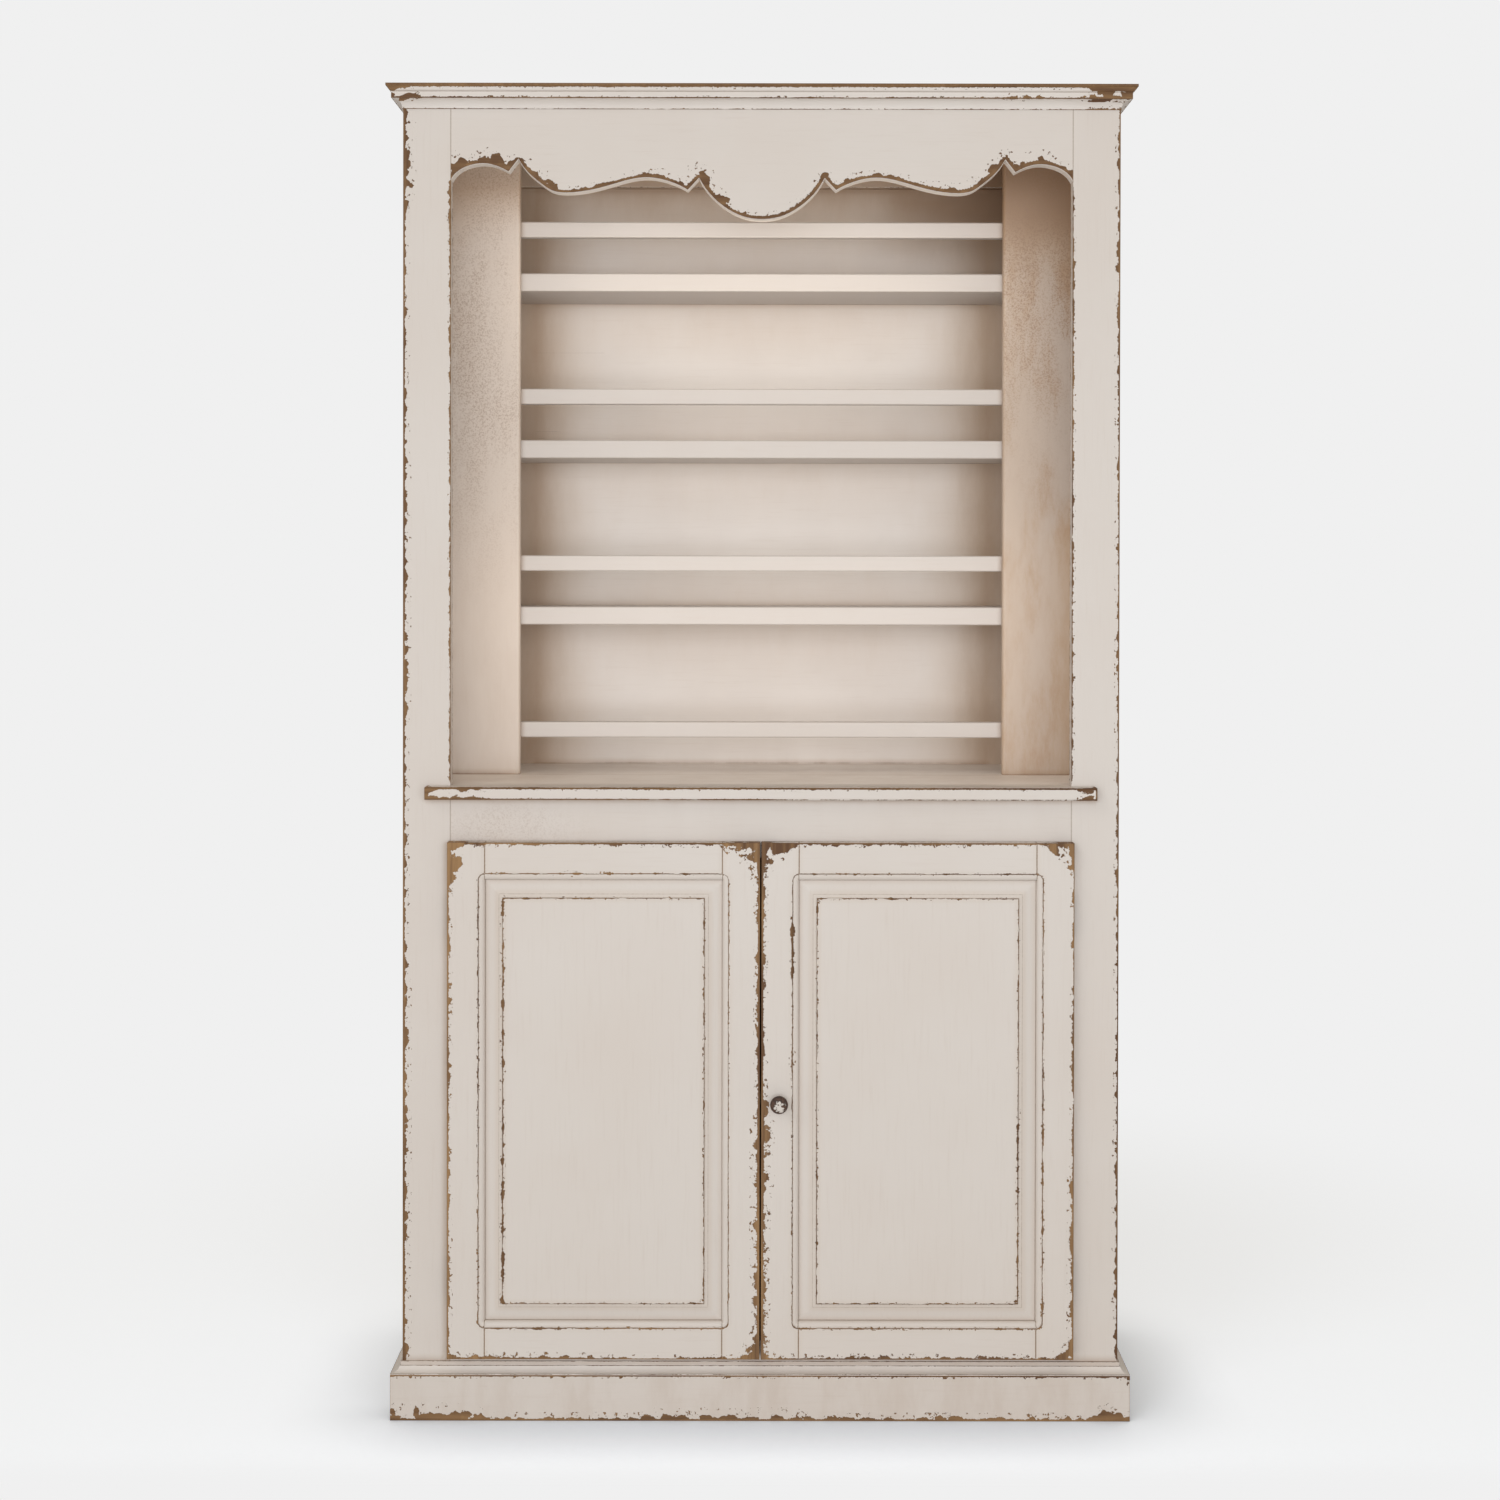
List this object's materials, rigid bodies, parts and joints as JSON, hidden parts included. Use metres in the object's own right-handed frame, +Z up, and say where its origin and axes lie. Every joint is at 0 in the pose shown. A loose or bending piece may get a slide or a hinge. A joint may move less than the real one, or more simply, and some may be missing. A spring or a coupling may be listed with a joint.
{
  "type": "plate rack dresser",
  "caption": "Tall painted wooden dresser with an open plate rack behind a scalloped valance, a counter shelf, and raised-panel doors below, in a worn cream finish.",
  "frame": {"origin": "on the floor, in the middle of the whole cabinet's width and depth, the knob included", "axes": "+X to the right as seen from the front, the front with the doors faces -Y, +Z up"},
  "size_m": [1.178, 0.4598, 2.1],
  "materials": {
    "painted_wood": "matt cream paint over brown wood, worn through along the edges",
    "bare_wood": "bare planed softwood, aged brown",
    "hinge_iron": "dark oiled iron",
    "fastener_steel": "dull steel",
    "knob_metal": "dark bronzed iron with remains of cream paint"
  },
  "bodies": {
    "case": {"apron_rail": "painted_wood", "back_top_batten": "painted_wood", "bottom_rail": "painted_wood", "cornice_front": "painted_wood", "cornice_left": "painted_wood", "cornice_right": "painted_wood", "counter_board": "painted_wood", "counter_nosing": "painted_wood", "cupboard_cleats": "bare_wood", "cupboard_shelf": "bare_wood", "door_catches": "fastener_steel", "floor_board": "bare_wood", "floor_glue_blocks": "bare_wood", "frame_leaf_screws": "fastener_steel", "frame_stile_left": "painted_wood", "frame_stile_right": "painted_wood", "hinge_frame_leaves": "hinge_iron", "hinge_pins": "hinge_iron", "lower_back_boards": "bare_wood", "plate_rail_1": "painted_wood", "plate_rail_2": "painted_wood", "plate_rail_3": "painted_wood", "plate_rail_4": "painted_wood", "plate_shelf_1": "painted_wood", "plate_shelf_2": "painted_wood", "plate_shelf_3": "painted_wood", "plinth_front": "painted_wood", "plinth_left": "painted_wood", "plinth_moulding_front": "painted_wood", "plinth_moulding_left": "painted_wood", "plinth_moulding_right": "painted_wood", "plinth_right": "painted_wood", "rack_board_left": "painted_wood", "rack_board_right": "painted_wood", "shelf_cleats": "bare_wood", "side_panel_left": "painted_wood", "side_panel_right": "painted_wood", "top_board": "painted_wood", "upper_back_boards": "painted_wood", "valance_board": "painted_wood"},
    "left_door": {"left_door_bottom_rail": "painted_wood", "left_door_hinge_leaves": "hinge_iron", "left_door_hinge_stile": "painted_wood", "left_door_leaf_screws": "fastener_steel", "left_door_meeting_stile": "painted_wood", "left_door_panel": "painted_wood", "left_door_strike": "fastener_steel", "left_door_top_rail": "painted_wood"},
    "right_door": {"right_door_bottom_rail": "painted_wood", "right_door_hinge_leaves": "hinge_iron", "right_door_hinge_stile": "painted_wood", "right_door_leaf_screws": "fastener_steel", "right_door_meeting_stile": "painted_wood", "right_door_panel": "painted_wood", "right_door_strike": "fastener_steel", "right_door_top_rail": "painted_wood", "knob": "knob_metal", "knob_screw": "fastener_steel"}
  },
  "joints": [
    {"name": "left_door_hinge", "type": "hinge", "parent": "case", "child": "left_door", "pos_m": [-0.49, -0.1861, 0.505], "axis": [0, 0, -1], "range_deg": [0, 100]},
    {"name": "right_door_hinge", "type": "hinge", "parent": "case", "child": "right_door", "pos_m": [0.49, -0.1861, 0.505], "axis": [0, 0, 1], "range_deg": [0, 100]}
  ]
}
